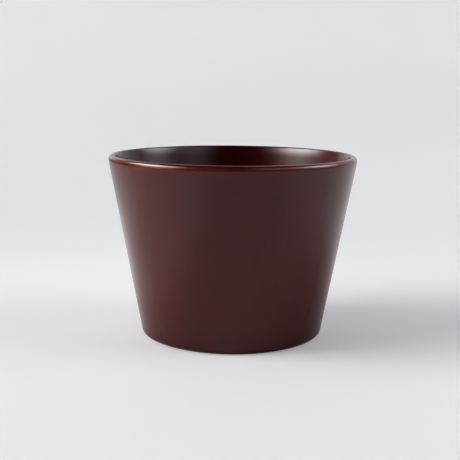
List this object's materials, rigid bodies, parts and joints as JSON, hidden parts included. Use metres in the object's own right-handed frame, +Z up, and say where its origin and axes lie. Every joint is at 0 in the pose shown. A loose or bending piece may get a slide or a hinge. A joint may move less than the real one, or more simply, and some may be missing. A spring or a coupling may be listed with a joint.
{
  "type": "sake cup",
  "caption": "Small straight-sided drinking cup of turned wood, coated in translucent red-brown lacquer, with a thin eased lip and a flat foot ring to stand on.",
  "frame": {"origin": "centre of the foot's resting plane, on the cup's axis", "axes": "+Z is up along the cup's axis, out of the mouth; +X and +Y are any two horizontal directions, because the cup is turned"},
  "size_m": [0.0658, 0.0658, 0.048],
  "materials": {
    "wood_core": "turned pale hardwood, bare under the lacquer",
    "outer_coat": "translucent red-brown lacquer, satin gloss",
    "inner_coat": "translucent red-brown lacquer, satin gloss",
    "lip_coat": "thin red-brown lacquer, red where it is rubbed down along the lip",
    "foot_coat": "dark brown lacquer, satin"
  },
  "bodies": {
    "root": {"wood_core": "wood_core", "outer_coat": "outer_coat", "inner_coat": "inner_coat", "lip_coat": "lip_coat", "foot_coat": "foot_coat"}
  },
  "joints": []
}
